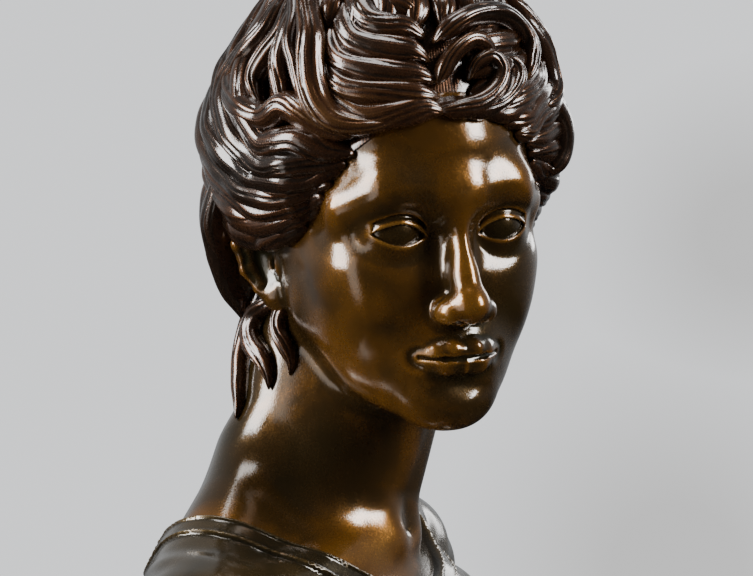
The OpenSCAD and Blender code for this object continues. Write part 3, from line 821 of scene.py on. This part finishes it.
# Strands that sweep from the parting along the front of the hair
SWEPT = [
    [(-4, 13, 0), (-10, 14, 1), (-18, 13, 2), (-28, 12, 2), (-34, 14, 1), (-40, 18, 0), (-44, 25, -1)],
    [(-5, 17, 0), (-11, 18, 1), (-19, 18.5, 2), (-28, 19, 2), (-35, 21, 1), (-40, 25, 0), (-44, 32, -1)],
    [(-6, 22, 0), (-12, 24, 1), (-20, 25, 2), (-28, 26, 2), (-36, 29, 1), (-41, 34, 0), (-44, 42, -1)],
    [(-7, 28, 0), (-13, 31, 1), (-20, 32, 2), (-27, 33, 1.5), (-34, 36, 1), (-38, 42, 0), (-42, 50, 0)],
    [(-8, 35, 0), (-14, 38, 1), (-21, 39, 1.5), (-28, 42, 1), (-33, 48, 1), (-36, 58, 0)],
    [(-9, 42, 0), (-14, 45, 1), (-20, 48, 1), (-24, 55, 0), (-26, 64, 0)],
]
# Waves from the temple over the ear, then up the back to the knot
WAVES = [
    [(-31, 7, 0), (-41, 9, 1), (-49, 13, 2.5), (-57, 15, 2), (-66, 11, 1), (-79, 14, 2), (-92, 22, 1),
     (-102, 36, 0), (-108, 60, 0)],
    [(-32, 1, 0), (-41, 2, 1), (-50, 4, 2), (-58, 2.5, 2.5), (-66, 2, 1.5), (-73, 8, 1), (-80, 17, 1.5),
     (-86, 28, 1), (-92, 46, 0), (-94, 62, 0)],
    [(-35, -3, 0), (-45, -3, 1.5), (-55, -4, 3), (-64, -5, 2), (-73, -2, 1), (-83, 5, 2), (-93, 15, 2),
     (-104, 27, 1), (-114, 44, 0), (-118, 62, 0)],
    [(-37, -5, 0), (-47, -8, 1.5), (-59, -10, 3), (-70, -10, 2.5), (-80, -6, 1), (-91, 0, 2), (-103, 9, 2),
     (-116, 22, 1), (-125, 40, 0), (-128, 62, 0)],
    [(-40, -9, 0), (-50, -12, 1.5), (-62, -15, 3), (-75, -15, 3), (-87, -11, 1), (-100, -4, 2), (-113, 6, 2),
     (-126, 22, 1), (-134, 42, 0), (-136, 62, 0)],
    [(-43, -14, 0), (-53, -18, 1.5), (-64, -21, 3), (-76, -21, 3), (-88, -17, 1.5), (-102, -11, 1),
     (-117, 0, 2), (-131, 18, 1), (-141, 40, 0), (-145, 62, 0)],
    [(-47, -19, 0), (-56, -23, 1.5), (-67, -26, 3.5), (-79, -27, 5), (-92, -23, 5), (-107, -17, 2.5),
     (-123, -5, 1.5), (-138, 14, 1), (-149, 38, 0), (-153, 62, 0)],
    [(-54, -27, 0), (-65, -30, 2.5), (-78, -32, 5.5), (-91, -31.5, 7), (-104, -27, 4), (-118, -18, 1),
     (-133, -4, 1), (-147, 18, 1), (-157, 40, 0), (-161, 62, 0)],
]
# Long strands drawn up to the knot above the waves
DRAWN = [
    [(-70, 14, -1), (-76, 23, 1), (-72, 32, 2), (-68, 41, 2), (-70, 52, 1), (-72, 64, 0)],
    [(-92, 10, -2), (-97, 18, 1), (-92, 26, 2), (-83, 34, 3), (-79, 44, 2), (-82, 64, 0)],
    [(-56, 10, -2), (-60, 20, 1), (-63, 29, 2), (-62, 39, 2), (-64, 50, 1), (-64, 64, 0)],
    [(-48, 24, -1), (-52, 34, 1), (-52, 44, 1), (-54, 54, 0), (-55, 64, 0)],
    [(-44, 40, 0), (-45, 50, 0), (-46, 66, 0)],
]
# Hair combed up from behind the ear and from the nape
BEHIND = [
    [(-109, -50, 0), (-110, -43, 1.5), (-111, -34, 2), (-113, -24, 1), (-119, -8, 1), (-129, 10, 1),
     (-138, 32, 0), (-141, 62, 0)],
    [(-114, -55, 0), (-116, -46, 2), (-118, -36, 2), (-121, -23, 1), (-128, -6, 1), (-139, 14, 1),
     (-149, 36, 0), (-152, 62, 0)],
]

# The thick lock that drops from the knot and turns along the front of the hair, a thin one beside it, then
# the finger curls and the loop on the other side of the parting: guide, half width, height, strands, ends
FEATURED = [
    ([(-66, 64, 2), (-60, 54, 5), (-55, 46, 6), (-49, 36, 6), (-47, 28, 6), (-45, 21, 5.5), (-42, 15, 5),
      (-37, 11, 4.5), (-30, 9.5, 4), (-22, 9.5, 2.5), (-15, 11, 1)], 5.2, 6.0, 4, (0.1, 0.35)),
    ([(-74, 60, 2), (-66, 50, 4), (-60, 42, 4), (-57, 33, 4.5), (-53, 27, 4.5), (-49, 20, 4.5),
      (-46, 14, 3.5), (-41, 10, 2.5), (-35, 7.5, 1.5), (-27, 6.5, 0.5)], 3.2, 4.6, 2, (0.1, 0.35)),
    ([(-6, 13.5, 0), (0, 13.5, 2), (7, 15, 4), (13, 19, 5), (15.5, 24, 5), (12.5, 27.5, 4.5), (7, 26, 3.5),
      (4, 21.5, 2.5)], 3.9, 4.2, 3, (0.2, 0.3)),
    ([(-6, 21, 1), (-1, 28, 3), (6, 32, 4.5), (12, 31, 4.5), (15, 27, 4)], 3.8, 4.2, 3, (0.2, 0.3)),
    ([(1, 12.5, 0.5), (9, 13, 3), (16, 16, 5), (21.5, 20.5, 5.5), (22.5, 25, 5), (18.5, 27.5, 4)],
     3.6, 4.0, 3, (0.2, 0.3)),
    ([(10, 11, 0), (18, 12, 2.5), (26, 16, 4), (34, 19, 3), (44, 24, 2), (54, 34, 1), (60, 48, 0)],
     4.2, 4.2, 3, (0.15, 0.15)),
    ([(17, 8.5, 0), (26, 10, 2.5), (33, 14, 3.5), (42, 17, 3), (52, 19, 2), (62, 26, 1)],
     4.0, 4.2, 3, (0.15, 0.15)),
    ([(22, 5, 0), (30, 6, 2), (36, 10, 3), (46, 12, 3), (56, 11, 2), (68, 14, 1)], 4.0, 4.0, 3, (0.15, 0.15)),
    ([(-6, 33, 2), (2, 37, 5), (11, 39.5, 6), (21, 39.5, 6.5), (30, 36.5, 6.5), (34, 31, 6.5), (31, 25, 6),
      (26, 20, 5)], 4.0, 5.0, 3, (0.15, 0.25)),
    ([(36, 50, 3), (42, 42, 5), (47, 34, 6), (50, 26, 6), (50, 19, 5.5), (45, 14, 5), (38, 12, 4)],
     4.4, 5.0, 3, (0.15, 0.25)),
    ([(47, 16, 2), (53, 10, 5), (55, 3, 7), (54, -4, 7), (50, -9, 5.5), (46, -7, 4)],
     5.0, 5.0, 3, (0.2, 0.3)),
]
FEATURED_SEEDS = [301, 302, 311, 312, 313, 314, 315, 316, 317, 318, 319]
# Locks that drop from the roll over the ear and pass behind it to the nape, on the positive side of the head
DROPPED = [
    ([(60, 20, 98), (67, 24, 86), (69, 27, 73), (67, 29, 61), (63, 31, 49), (58, 31, 39), (54, 29, 29)],
     (1, 0.2, 0), 6.0, 9),
    ([(56, 36, 98), (64, 41, 84), (65, 43, 70), (61, 44, 56), (54, 43, 43), (49, 41, 32)],
     (1, 0.5, 0), 7.0, 10),
]
# Loose locks at the nape, on the positive side and in the middle: guide, half width, height, both ends
NAPE_SIDE = [
    ([(40, 10, 46, 0), (45, 15, 39, 2), (52, 21, 34, 4), (56, 22, 28, 4.5), (54, 17, 22, 4), (52, 10, 17, 3),
      (51, 6, 11, 2.5), (53, 3, 6, 1.5)], 4.2, 3.6, 0.15, 0.4),
    ([(40, 6, 42, 0), (45, 8, 35, 2), (46, 7, 29, 3), (44, 4, 23, 3), (43, 1, 17, 2), (45, -1, 12, 1)],
     3.4, 3.2, 0.15, 0.45),
    ([(44, 26, 48, 1), (52, 28, 36, 3), (57, 29, 25, 4.5), (59, 27, 15, 4.5), (58, 22, 6, 3.5),
      (61, 16, -2, 2.5), (64, 13, -8, 1)], 4.4, 3.8, 0.1, 0.4),
    ([(36, 40, 48, 1), (44, 42, 36, 3), (48, 42, 25, 4), (46, 42, 15, 3.5), (49, 38, 7, 2), (53, 36, 2, 1)],
     4.4, 3.8, 0.1, 0.4),
]
NAPE_MIDDLE = [
    ([(4, 66, 54, 1), (0, 66, 42, 3), (-5, 64, 32, 4), (-2, 62, 22, 3.5), (4, 60, 15, 2.5), (2, 60, 9, 1)],
     4.4, 3.8, 0.1, 0.4),
    ([(12, 64, 54, 1), (13, 63, 43, 3), (9, 62, 34, 4), (12, 60, 25, 3), (17, 58, 19, 1.5)],
     4.0, 3.6, 0.1, 0.4),
]


def mirrored(guide, shift=0.0):
    """The same lock on the other side of the head, a little higher or lower if asked."""
    return [(-p[0], p[1] + shift, *p[2:]) for p in guide]


front, sides, back = Locks(), Locks(), Locks()
for k, g in enumerate(SWEPT):
    front.lock(g, 5.4, 4.4, 3, 10 + k)
    front.lock(mirrored(g, 1.0), 5.4, 4.4, 3, 110 + k)
for k, g in enumerate(WAVES):
    sides.lock(g, 6.2, 5.4, 3, 20 + k, ends=(0.12, 0.1))
    sides.lock(mirrored(g, (k % 3 - 1) * 0.8), 6.2, 5.4, 3, 120 + k, ends=(0.12, 0.1))
for k, g in enumerate(DRAWN):
    front.lock(g, 5.0, 5.0, 3, 40 + k, ends=(0.3, 0.1))
    front.lock(mirrored(g), 5.0, 5.0, 3, 140 + k, ends=(0.3, 0.1))
for k, g in enumerate(BEHIND):
    back.lock(g, 6.2, 4.6, 4, 60 + k, ends=(0.15, 0.1))
    back.lock(mirrored(g), 6.2, 4.6, 4, 160 + k, ends=(0.15, 0.1))
for k, b in enumerate(np.arange(122, 240, 8.0)):
    s = 3.0 * math.sin(1.9 * k)
    g = [(b, -60, 0), (b + 3 + s, -48, 1), (b + 1, -34, 2), (b - 4, -18, 1.5), (b - 1 + s, 0, 1),
         (b + 4, 18, 1.5), (b + 1, 40, 0.5), (b, 64, 0)]
    back.lock(g, 6.4, 4.4 + 0.6 * math.sin(2.3 * k), 4, 80 + k, ends=(0.12, 0.1))
for k, b in enumerate(np.arange(-34, 35, 11.0)):
    g = [(b, 38, 0), (b * 1.05 + 3, 47, 1), (b * 1.1 - 2, 56, 1), (b * 1.1, 68, 0)]
    front.lock(g, 5.4, 4.5, 4, 200 + k)
for side in (-1, 1):
    for k, (g, (out_x, out_y, out_z), width, sink) in enumerate(DROPPED):
        g = [(side * x, y, z) for x, y, z in g]
        sides.loose(g, (side * out_x, out_y, out_z), width, 4.6, 4, 410 + k, ends=(0.1, 0.2), sink=sink)
for (g, width, height, strands, ends), seed in zip(FEATURED, FEATURED_SEEDS):
    front.lock(g, width, height, strands, seed, ends=ends)

# Under the locks the mass itself, a little lower, closes the gaps
cap_b = np.arange(-180, 180, 2.0)
cap_t = np.linspace(0, 1, 60)
b, t = np.meshgrid(cap_b, cap_t)
e = hairline_at(b) * (1 - t) + 89 * t
drop = -2.6 * smooth(t, 0.0, 0.08) - 0.2
cap = Locks()
cap.grid(on_hair(b, e, drop), np.stack([b * 1.1, e * 1.2], -1), closed=False)
cap.make("hair_under", [])
front.make("hair_front", ["hair_casting"])
sides.make("hair_sides", [])
back.make("hair_back", [])

# The coil on the crown and the loose locks at the nape
knot = Locks()
knot.rope(5, 2.0, 501)
knot.make("hair_knot", ["topknot_casting"])

for side, name, node in ((-1, "nape_curls_right", "nape_lock_right"),
                         (1, "nape_curls_left", "nape_lock_left")):
    curls = Locks()
    for k, (g, width, height, *ends) in enumerate(NAPE_SIDE):
        g = [(side * x, y, z, lift) for x, y, z, lift in g]
        curls.hanging(g, width, height, 3, 401 + k, ends=ends)
    curls.make(name, [node])
curls = Locks()
for k, (g, width, height, *ends) in enumerate(NAPE_MIDDLE):
    curls.hanging(g, width, height, 3, 405 + k, ends=ends)
curls.make("nape_curls_middle", ["nape_lock_middle"])


# ---- Socle ----
def arc(centre, r, a, b, n=10):
    t = np.radians(np.linspace(a, b, n + 1))
    return [(centre[0] + r * math.cos(x), centre[1] + r * math.sin(x)) for x in t]


def eased(profile, r=0.35, n=3):
    """Rounds each sharp corner of a profile a little, so that it catches the light."""
    out = [profile[0]]
    for a, b, c in zip(profile, profile[1:], profile[2:]):
        a, b, c = np.array(a, float), np.array(b, float), np.array(c, float)
        u, v = a - b, c - b
        lu, lv = np.linalg.norm(u), np.linalg.norm(v)
        if lu < 1e-6 or lv < 1e-6:
            continue
        bend = math.degrees(math.acos(np.clip(-(u @ v) / (lu * lv), -1, 1)))
        if bend < 18:
            out.append(tuple(b))
            continue
        k = min(r, 0.45 * lu, 0.45 * lv)
        start, end = b + u / lu * k, b + v / lv * k
        for i in range(n + 1):
            t = i / n
            out.append(tuple((1 - t) ** 2 * start + 2 * t * (1 - t) * b + t ** 2 * end))
    out.append(profile[-1])
    return out


def lathe(name, profile, material, node, bore=4.5, around=160):
    """A piece turned to the profile of (radius, height), standing where its CAD node stands."""
    z = round(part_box(node)[0].z / MM, 3)
    profile = [(bore, profile[0][1])] + eased(profile) + [(bore, profile[-1][1])]
    a = 2 * np.pi * np.arange(around) / around
    rp = np.array(profile)
    up = np.repeat(rp[:, 1:], around, 1) + z - BUST_Z
    p = np.stack([rp[:, :1] * np.cos(a), rp[:, :1] * np.sin(a), up], -1)
    i = np.arange(len(rp) * around).reshape(len(rp), around)
    i = np.vstack([i, i[:1]])
    quads = np.stack([i[:-1], np.roll(i, -1, 1)[:-1], np.roll(i, -1, 1)[1:], i[1:]], -1).reshape(-1, 4)
    o = piece(name, p.reshape(-1, 3), quads, material, [node])
    edge = o.modifiers.new("edges", "WEIGHTED_NORMAL")
    edge.keep_sharp = True
    return o


def stone(name, dark, mid, light, vein):
    """Clouded marble with thin pale veins along the edges of bent cells."""
    m, tree, shader = node_material(name)
    link = tree.links.new
    body = ramp(tree, noise(tree, 22, 5, 1.2), [(0.3, dark), (0.5, mid), (0.72, light)])
    bend = add(tree, "TexNoise", Scale=30.0, Detail=5.0)
    link(position(tree), bend.inputs["Vector"])
    veins = add(tree, "TexVoronoi", Scale=16.0)
    veins.feature = "DISTANCE_TO_EDGE"
    bent = vector_math(tree, "MULTIPLY_ADD", bend.outputs["Color"], (0.05, 0.05, 0.05), position(tree))
    link(bent, veins.inputs["Vector"])
    thin = map_range(tree, veins.outputs["Distance"], 0.0, 0.035, 1.0, 0.0)
    broken = math_node(tree, "MULTIPLY", thin, noise(tree, 12, 3))
    link(mix_colours(tree, broken, body, vein), shader.inputs["Base Color"])
    link(map_range(tree, noise(tree, 300, 3), 0.3, 0.7, 0.12, 0.22), shader.inputs["Roughness"])
    shader.inputs["Coat Weight"].default_value = 0.3
    shader.inputs["Coat Roughness"].default_value = 0.08
    link(bump(tree, noise(tree, 260, 4), 0.12, 0.0003), shader.inputs["Normal"])
    return m


def plain(name, low, high, metallic, rough, grain, depth=0.0002):
    """One colour, a little uneven, with a fine grain."""
    m, tree, shader = node_material(name)
    link = tree.links.new
    link(ramp(tree, noise(tree, grain * 0.2, 4), [(0.3, low), (0.7, high)]), shader.inputs["Base Color"])
    shader.inputs["Metallic"].default_value = metallic
    fine = noise(tree, grain, 3)
    link(map_range(tree, fine, 0.3, 0.7, rough - 0.08, rough + 0.08), shader.inputs["Roughness"])
    link(bump(tree, fine, 0.6, depth), shader.inputs["Normal"])
    return m


marble = stone("marble_red", dark=(0.045, 0.010, 0.009), mid=(0.11, 0.024, 0.018), light=(0.20, 0.055, 0.035),
               vein=(0.62, 0.52, 0.44))
felt = plain("felt_green", (0.010, 0.035, 0.018), (0.020, 0.060, 0.032), 0.0, 0.92, 1400, 0.0006)
steel = plain("turned_steel", (0.38, 0.38, 0.38), (0.52, 0.52, 0.51), 1.0, 0.32, 700)
iron = plain("forged_iron", (0.06, 0.055, 0.05), (0.12, 0.11, 0.10), 0.8, 0.55, 320)

STEM_R, WAIST_R, BASE_R, CAP_R = 31.0, 27.0, 59.0, 46.0
FOOT_R, SPIGOT_R = STEM_R + 8, STEM_R - 4.8
lathe("foot_turned",
      [(FOOT_R - 0.5, 0), (FOOT_R, 0.5), (FOOT_R, 3)]
      + arc((FOOT_R - 2, 4.5), 2.5, -20, 80)
      + [(STEM_R + 5 - 5 * math.sin(math.radians(90 * t)), 8 + 5 * t) for t in np.linspace(0.1, 1, 14)]
      + arc((STEM_R, 14.5), 1.5, -90, 90)
      + [(SPIGOT_R, 16)],
      dress_bronze, "foot_casting")
lathe("socle_cap_turned",
      [(CAP_R - 13, 0), (CAP_R - 12, 1.5)]
      + arc((CAP_R - 12, 8), 6.5, -90, 0, 14)
      + [(CAP_R - 3, 8), (CAP_R - 3, 9.5)]
      + arc((CAP_R - 2.5, 12), 2.5, -60, 60)
      + [(CAP_R - 3, 14.6), (CAP_R - 4, 16)],
      marble, "socle_cap")
lathe("socle_ring_turned",
      [(WAIST_R + 4, 0)] + arc((WAIST_R + 4, 2.5), 2.5, -90, 90, 16) + [(WAIST_R + 4, 5)],
      dress_bronze, "socle_ring")
lathe("socle_stem_turned",
      [(46, 0), (46, 2.5)]
      + [(WAIST_R + (44 - WAIST_R) * (1 - t) ** 2.4, 2.5 + 32 * t) for t in np.linspace(0.02, 1, 40)]
      + [(WAIST_R, 36)]
      + arc((WAIST_R, 40.5), 3.5, -80, 60, 12)
      + [(WAIST_R + 3, 44)],
      marble, "socle_stem")
lathe("socle_base_turned",
      [(BASE_R - 1, 0)]
      + arc((BASE_R - 8, 8), 8, -85, 85, 24)
      + [(BASE_R - 7, 16.3), (BASE_R - 8.5, 16.3), (BASE_R - 8.5, 18.5)]
      + arc((BASE_R - 10.5, 21.5), 3, -60, 80, 12)
      + [(BASE_R - 12, 26)],
      marble, "socle_base")

# The plain pieces keep their CAD meshes
PLAIN = {
    "plinth": marble, "base_felt": felt, "bridge_bar": iron, "neck_joint_pins": dress_bronze,
    "tie_rod": steel, "rod_washer_top": steel, "rod_nut_top": steel, "rod_washer_bottom": steel,
    "rod_nut_bottom": steel,
    "locating_dowel": steel, "topknot_stud": steel, "topknot_washer": steel, "topknot_nut": steel,
}
for name, material in PLAIN.items():
    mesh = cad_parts[name].data
    mesh.materials.clear()
    mesh.materials.append(material)

# ---- Stage, light and camera ----
AZIMUTH, ELEVATION = math.radians(-70), math.radians(3)
LENS, SENSOR, DISTANCE = 85.0, 36.0, 0.741
LEVEL = math.cos(ELEVATION)
TOWARDS = Vector((math.sin(AZIMUTH) * LEVEL, -math.cos(AZIMUTH) * LEVEL, math.sin(ELEVATION)))
RIGHT = Vector((math.cos(AZIMUTH), math.sin(AZIMUTH), 0))
AIM = Vector((from_head((0, 10, 43)) + (0, 0, BUST_Z)) * MM) - RIGHT * 0.003

camera = bpy.data.objects.new("camera", bpy.data.cameras.new("camera"))
bpy.context.scene.collection.objects.link(camera)
camera.location = AIM + TOWARDS * DISTANCE
camera.rotation_euler = TOWARDS.to_track_quat("Z", "Y").to_euler()
camera.data.lens, camera.data.sensor_width = LENS, SENSOR
camera.data.clip_start = 0.01
bpy.context.scene.camera = camera


def softbox(name, direction, reach, width, height, watts, colour=(1, 1, 1)):
    """A rectangular lamp that faces the head; direction is in the camera's right, up and towards axes."""
    up = TOWARDS.cross(RIGHT)
    d = (RIGHT * direction[0] + up * direction[1] + TOWARDS * direction[2]).normalized()
    lamp = bpy.data.objects.new(name, bpy.data.lights.new(name, "AREA"))
    lamp.data.shape = "RECTANGLE"
    lamp.data.size, lamp.data.size_y = width, height
    lamp.data.energy, lamp.data.color = watts, colour
    lamp.location = AIM + d * reach
    lamp.rotation_euler = d.to_track_quat("Z", "Y").to_euler()
    bpy.context.scene.collection.objects.link(lamp)


softbox("window_left", (-0.93, 0.32, 0.30), 1.25, 0.5, 0.9, 42)
softbox("window_right", (0.80, 0.42, 0.42), 1.4, 0.4, 0.7, 34)
softbox("pale_wall", (-0.80, -0.06, 0.57), 1.6, 0.45, 1.3, 4, (1.0, 0.97, 0.93))
softbox("far_window", (0.62, 0.45, -0.78), 1.5, 0.5, 0.9, 9)
softbox("overhead", (-0.1, 1.0, 0.15), 1.3, 0.6, 0.6, 12)

FLOOR_R, FLOOR_SIDES = 0.9, 72
around = [2 * math.pi * k / FLOOR_SIDES for k in range(FLOOR_SIDES)]
floor_mesh = bpy.data.meshes.new("floor")
floor_mesh.from_pydata([(FLOOR_R * math.sin(a), FLOOR_R * math.cos(a), 0) for a in around], [],
                       [list(range(FLOOR_SIDES))[::-1]])
floor = bpy.data.objects.new("floor", floor_mesh)
bpy.context.scene.collection.objects.link(floor)
floor_material, _, floor_shader = node_material("floor_paint")
floor_shader.inputs["Base Color"].default_value = (0.62, 0.63, 0.65, 1)
floor_shader.inputs["Roughness"].default_value = 0.7
floor_mesh.materials.append(floor_material)
floor.visible_glossy = False

# The room that the bronze reflects is dark behind the camera and below the floor. The camera itself sees a
# pale wall, with two soft shadows painted into the world colour; nothing casts them.
world = bpy.data.worlds.new("room")
bpy.context.scene.world = world
world.use_nodes = True
tree = world.node_tree
direction = tree.nodes.new("ShaderNodeTexCoord").outputs["Generated"]
ahead = vector_math(tree, "DOT_PRODUCT", direction, -TOWARDS)
room = ramp(tree, map_range(tree, ahead, -1.0, 1.0, 0.0, 1.0),
            [(0.0, (0.02, 0.02, 0.021)), (0.36, (0.05, 0.05, 0.051)), (0.56, (0.24, 0.245, 0.25)),
             (1.0, (0.45, 0.46, 0.47))])
height = tree.nodes.new("ShaderNodeSeparateXYZ")
tree.links.new(direction, height.inputs["Vector"])
below = map_range(tree, height.outputs["Z"], -0.35, 0.05, 1.0, 0.0)
room = mix_colours(tree, below, room, (0.012, 0.012, 0.012))
# Painted shadows: two darker patches in the wall colour that the camera sees, not cast by anything.
shadows = []
for side, rise, spread in ((0.21, 0.03, 0.075), (0.17, -0.16, 0.10)):
    centre = (RIGHT * side + Vector((0, 0, rise)) - TOWARDS).normalized()
    away = vector_math(tree, "DISTANCE", direction, centre)
    shadows.append(map_range(tree, away, spread * 0.35, spread * 1.35, 1.0, 0.0))
shadow = math_node(tree, "MAXIMUM", *shadows)
wall = ramp(tree, shadow, [(0.0, (1.09, 1.11, 1.14)), (1.0, (0.76, 0.76, 0.76))])
seen = tree.nodes.new("ShaderNodeLightPath").outputs["Is Camera Ray"]
tree.links.new(mix_colours(tree, seen, room, wall), tree.nodes["Background"].inputs["Color"])
